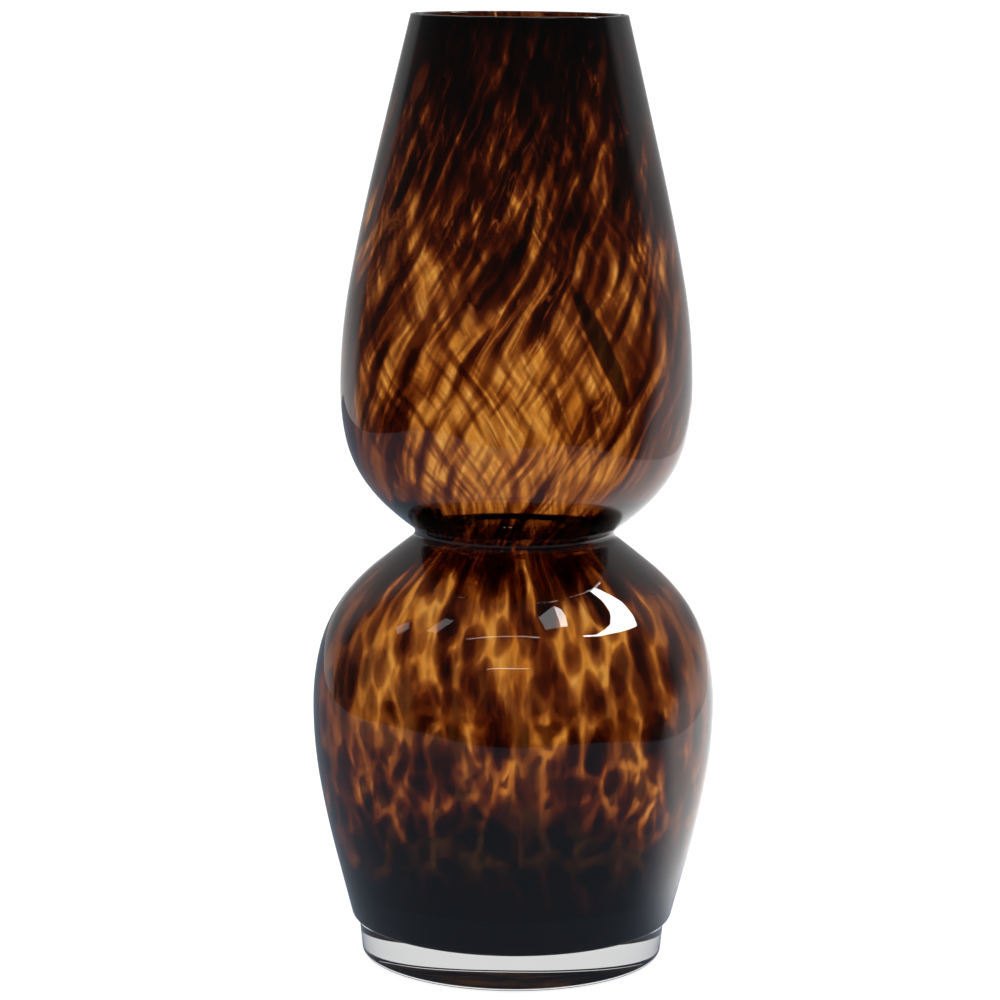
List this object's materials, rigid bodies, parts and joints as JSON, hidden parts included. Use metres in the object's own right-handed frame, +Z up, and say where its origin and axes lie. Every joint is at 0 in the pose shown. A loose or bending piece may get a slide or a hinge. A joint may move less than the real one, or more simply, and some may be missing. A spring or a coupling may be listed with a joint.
{
  "type": "gourd vase",
  "caption": "Free-standing double-gourd flower vase of cased tortoiseshell glass, with a pinched waist, an open ground rim and a heavy clear foot",
  "frame": {"origin": "centre of the flat ring under the foot, on the surface that the vase stands on", "axes": "+Z up along the vase's axis of revolution; +X to the right and +Y away in the picture's view"},
  "size_m": [0.179, 0.179, 0.419],
  "materials": {
    "clear_glass": "polished",
    "amber_glass": "polished",
    "dark_glass": "polished"
  },
  "bodies": {
    "root": {"clear_outer_casing": "clear_glass", "clear_inner_lining": "clear_glass", "clear_foot": "clear_glass", "amber_layer": "amber_glass", "dark_base": "dark_glass", "dark_flecks_rim": "dark_glass", "dark_flecks_upper_bulb": "dark_glass", "dark_flecks_waist": "dark_glass", "dark_flecks_shoulder": "dark_glass", "dark_flecks_lower_bulb": "dark_glass"}
  },
  "joints": []
}
